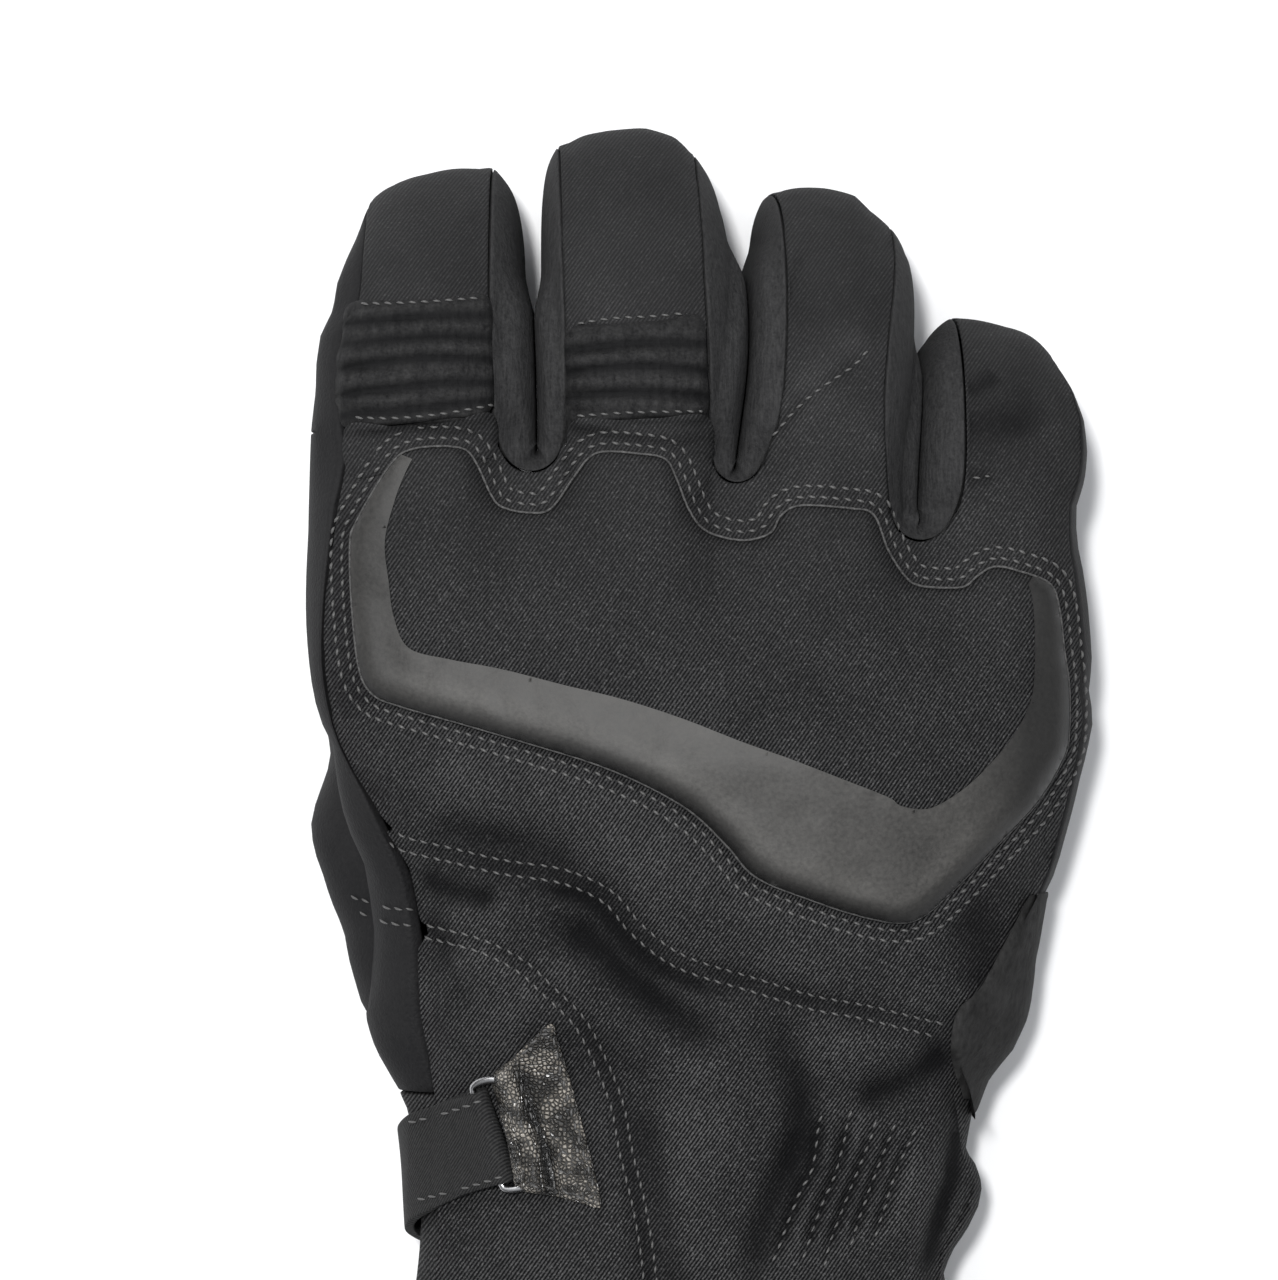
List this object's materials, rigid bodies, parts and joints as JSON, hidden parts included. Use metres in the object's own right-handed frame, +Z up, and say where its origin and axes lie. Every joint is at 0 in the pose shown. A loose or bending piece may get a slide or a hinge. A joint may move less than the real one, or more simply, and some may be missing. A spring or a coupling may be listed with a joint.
{
  "type": "winter motorcycle glove",
  "caption": "Padded winter glove for the right hand with a raised knuckle pad, ribbed finger joints, a strap with a metal ring at the wrist and a plain cuff.",
  "frame": {"origin": "middle of the glove's base, on the surface that it lies on", "axes": "+Y to the fingertips, +X to the little finger, +Z up out of the back of the hand"},
  "size_m": [0.1226, 0.2542, 0.0652],
  "materials": {
    "softshell": "fine diagonal weave, matt, charcoal black",
    "stretch_rib": "ribbed stretch cloth, matt black",
    "knit": "fine vertical knit, matt black",
    "goat_leather": "smooth grained leather, satin black",
    "suede": "napped leather, matt charcoal",
    "film": "smooth satin film, grey",
    "piping": "thin woven cord, grey",
    "webbing": "narrow woven webbing, matt black",
    "tab_leather": "pebbled goat leather, black",
    "ring_metal": "dark polished metal"
  },
  "bodies": {
    "root": {"cuff_back": "softshell", "cuff_palm": "softshell", "finger_back_index": "softshell", "finger_back_little": "softshell", "finger_back_middle": "softshell", "finger_back_ring": "softshell", "finger_palm_index": "goat_leather", "finger_palm_little": "goat_leather", "finger_palm_middle": "goat_leather", "finger_palm_ring": "goat_leather", "fingertip_index": "goat_leather", "fingertip_little": "goat_leather", "fingertip_middle": "goat_leather", "fingertip_ring": "goat_leather", "flex_ribs_index": "stretch_rib", "flex_ribs_middle": "stretch_rib", "fourchette_index_middle": "knit", "fourchette_middle_ring": "knit", "fourchette_ring_little": "knit", "hand_back": "softshell", "heel_patch": "suede", "knuckle_band": "film", "knuckle_pad": "softshell", "knuckle_piping": "piping", "palm": "goat_leather", "ring_tab": "tab_leather", "strap_ring": "ring_metal", "thumb": "goat_leather", "wrist_gathers": "softshell", "wrist_panel": "softshell", "wrist_strap": "webbing"}
  },
  "joints": []
}
